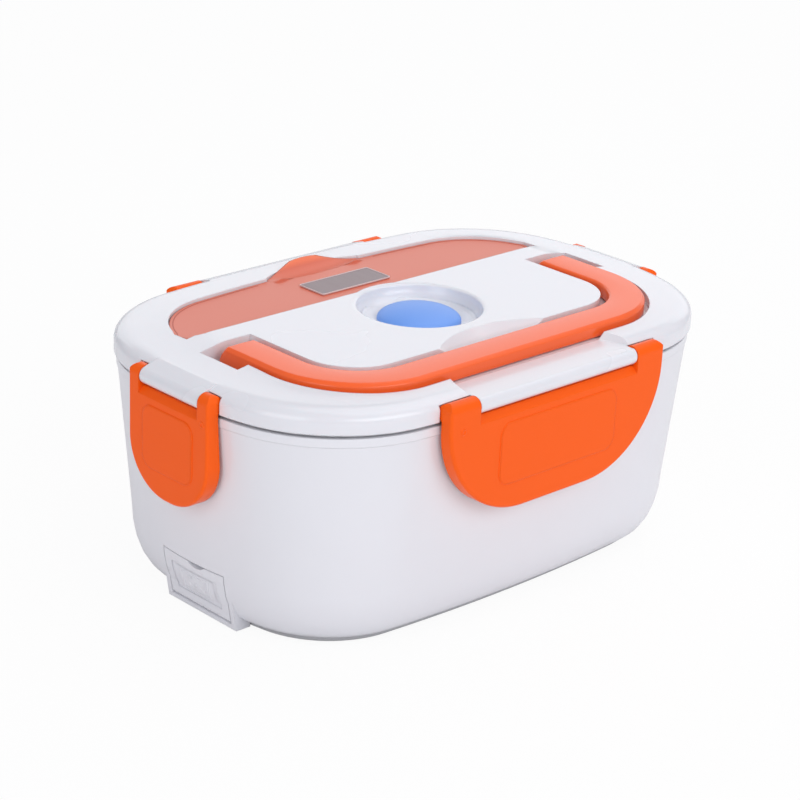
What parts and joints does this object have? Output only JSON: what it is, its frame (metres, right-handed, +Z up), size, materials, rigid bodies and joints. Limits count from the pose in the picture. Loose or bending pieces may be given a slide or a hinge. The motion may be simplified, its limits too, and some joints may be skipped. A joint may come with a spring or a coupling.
{
  "type": "electric lunch box",
  "caption": "Heated lunch box with a rounded base, a steel food tray, a clip-on lid with a folding handle, a spoon compartment and a steam vent.",
  "frame": {"origin": "centre of the footprint, on the surface the box stands on", "axes": "+X along the length, away from the power inlet; -Y to the front, the side of the folded handle's grip; +Z up"},
  "size_m": [0.2416, 0.1656, 0.1037],
  "materials": {
    "white_shell": "smooth gloss, injection moulded",
    "lid_white": "smooth gloss, injection moulded",
    "inner_white": "satin moulded",
    "grey_cover": "satin moulded",
    "orange": "smooth gloss, injection moulded",
    "handle_orange": "smooth gloss, injection moulded",
    "salmon": "smooth, slightly translucent",
    "plate_grey": "satin",
    "blue_silicone": "soft silicone",
    "seal_silicone": "soft silicone",
    "red_silicone": "soft silicone",
    "feet_rubber": "matte",
    "tray_steel": "satin drawn steel",
    "heater_aluminium": "cast, satin",
    "clamp_steel": "zinc plated",
    "screw_steel": "zinc plated",
    "heater_ceramic": "matt film-wrapped",
    "socket_black": "satin moulded",
    "fuse_white": "matt",
    "pin_brass": "bright",
    "wire_cover": "matt insulation",
    "box_white": "satin moulded"
  },
  "bodies": {
    "base": {"outer_body": "white_shell", "inner_well": "inner_white", "bottom_cover": "grey_cover", "base_screws": "screw_steel", "rubber_feet": "feet_rubber", "heater_plate": "heater_aluminium", "heater_gasket": "red_silicone", "ptc_heater": "heater_ceramic", "heater_clamp": "clamp_steel", "clamp_screws": "screw_steel", "thermostat": "socket_black", "thermal_fuse": "fuse_white", "inlet_socket": "socket_black", "inlet_pins": "pin_brass", "wires": "wire_cover"},
    "inlet_door": {"inlet_door": "white_shell"},
    "tray": {"steel_tray": "tray_steel"},
    "side_box": {"side_box": "box_white"},
    "lid": {"lid_shell": "lid_white", "lid_liner": "inner_white", "lid_seal": "seal_silicone"},
    "latch_front": {"latch_front": "orange"},
    "latch_rear": {"latch_rear": "orange"},
    "latch_left": {"latch_left": "orange"},
    "latch_right": {"latch_right": "orange"},
    "carry_handle": {"carry_handle": "handle_orange"},
    "spoon_cover": {"spoon_cover": "salmon", "cover_plate": "plate_grey"},
    "spoon": {"spoon": "orange"},
    "vent_plug": {"vent_plug": "blue_silicone"}
  },
  "joints": [
    {"name": "inlet_door_hinge", "type": "hinge", "parent": "base", "child": "inlet_door", "pos_m": [-0.10366, -0.0016, 0.00457], "axis": [0, -1, 0], "range_deg": [0, 76]},
    {"name": "lid_lift", "type": "slide", "parent": "base", "child": "lid", "axis": [0, 0, 1], "range_m": [0, 0.08]},
    {"name": "tray_lift", "type": "slide", "parent": "base", "child": "tray", "axis": [0, 0, 1], "range_m": [0, 0.034]},
    {"name": "side_box_lift", "type": "slide", "parent": "tray", "child": "side_box", "axis": [0, 0, 1], "range_m": [0, 0.02]},
    {"name": "latch_front_hinge", "type": "hinge", "parent": "lid", "child": "latch_front", "pos_m": [0, -0.0788, 0.0949], "axis": [-1, 0, 0], "range_deg": [0, 110]},
    {"name": "latch_rear_hinge", "type": "hinge", "parent": "lid", "child": "latch_rear", "pos_m": [0, 0.0788, 0.0949], "axis": [1, 0, 0], "range_deg": [0, 110]},
    {"name": "latch_left_hinge", "type": "hinge", "parent": "lid", "child": "latch_left", "pos_m": [-0.1168, 0, 0.0949], "axis": [0, 1, 0], "range_deg": [0, 110]},
    {"name": "latch_right_hinge", "type": "hinge", "parent": "lid", "child": "latch_right", "pos_m": [0.1168, 0, 0.0949], "axis": [0, -1, 0], "range_deg": [0, 110]},
    {"name": "carry_handle_hinge", "type": "hinge", "parent": "lid", "child": "carry_handle", "pos_m": [0, -0.001, 0.0978], "axis": [-1, 0, 0], "range_deg": [0, 100]},
    {"name": "spoon_cover_hinge", "type": "hinge", "parent": "lid", "child": "spoon_cover", "pos_m": [0, 0.0236, 0.0995], "axis": [1, 0, 0], "range_deg": [0, 85]},
    {"name": "spoon_lift", "type": "slide", "parent": "lid", "child": "spoon", "axis": [0, 0, 1], "range_m": [0, 0.0018]},
    {"name": "vent_plug_lift", "type": "slide", "parent": "lid", "child": "vent_plug", "axis": [0, 0, 1], "range_m": [0, 0.004]}
  ],
  "couplings": [
    {"joint": "latch_front_hinge", "follows": "lid_lift", "rad_per_m": 23.996},
    {"joint": "latch_rear_hinge", "follows": "lid_lift", "rad_per_m": 23.996},
    {"joint": "latch_left_hinge", "follows": "lid_lift", "rad_per_m": 23.996},
    {"joint": "latch_right_hinge", "follows": "lid_lift", "rad_per_m": 23.996},
    {"joint": "tray_lift", "follows": "lid_lift", "ratio": 0.42},
    {"joint": "side_box_lift", "follows": "lid_lift", "ratio": 0.24}
  ]
}
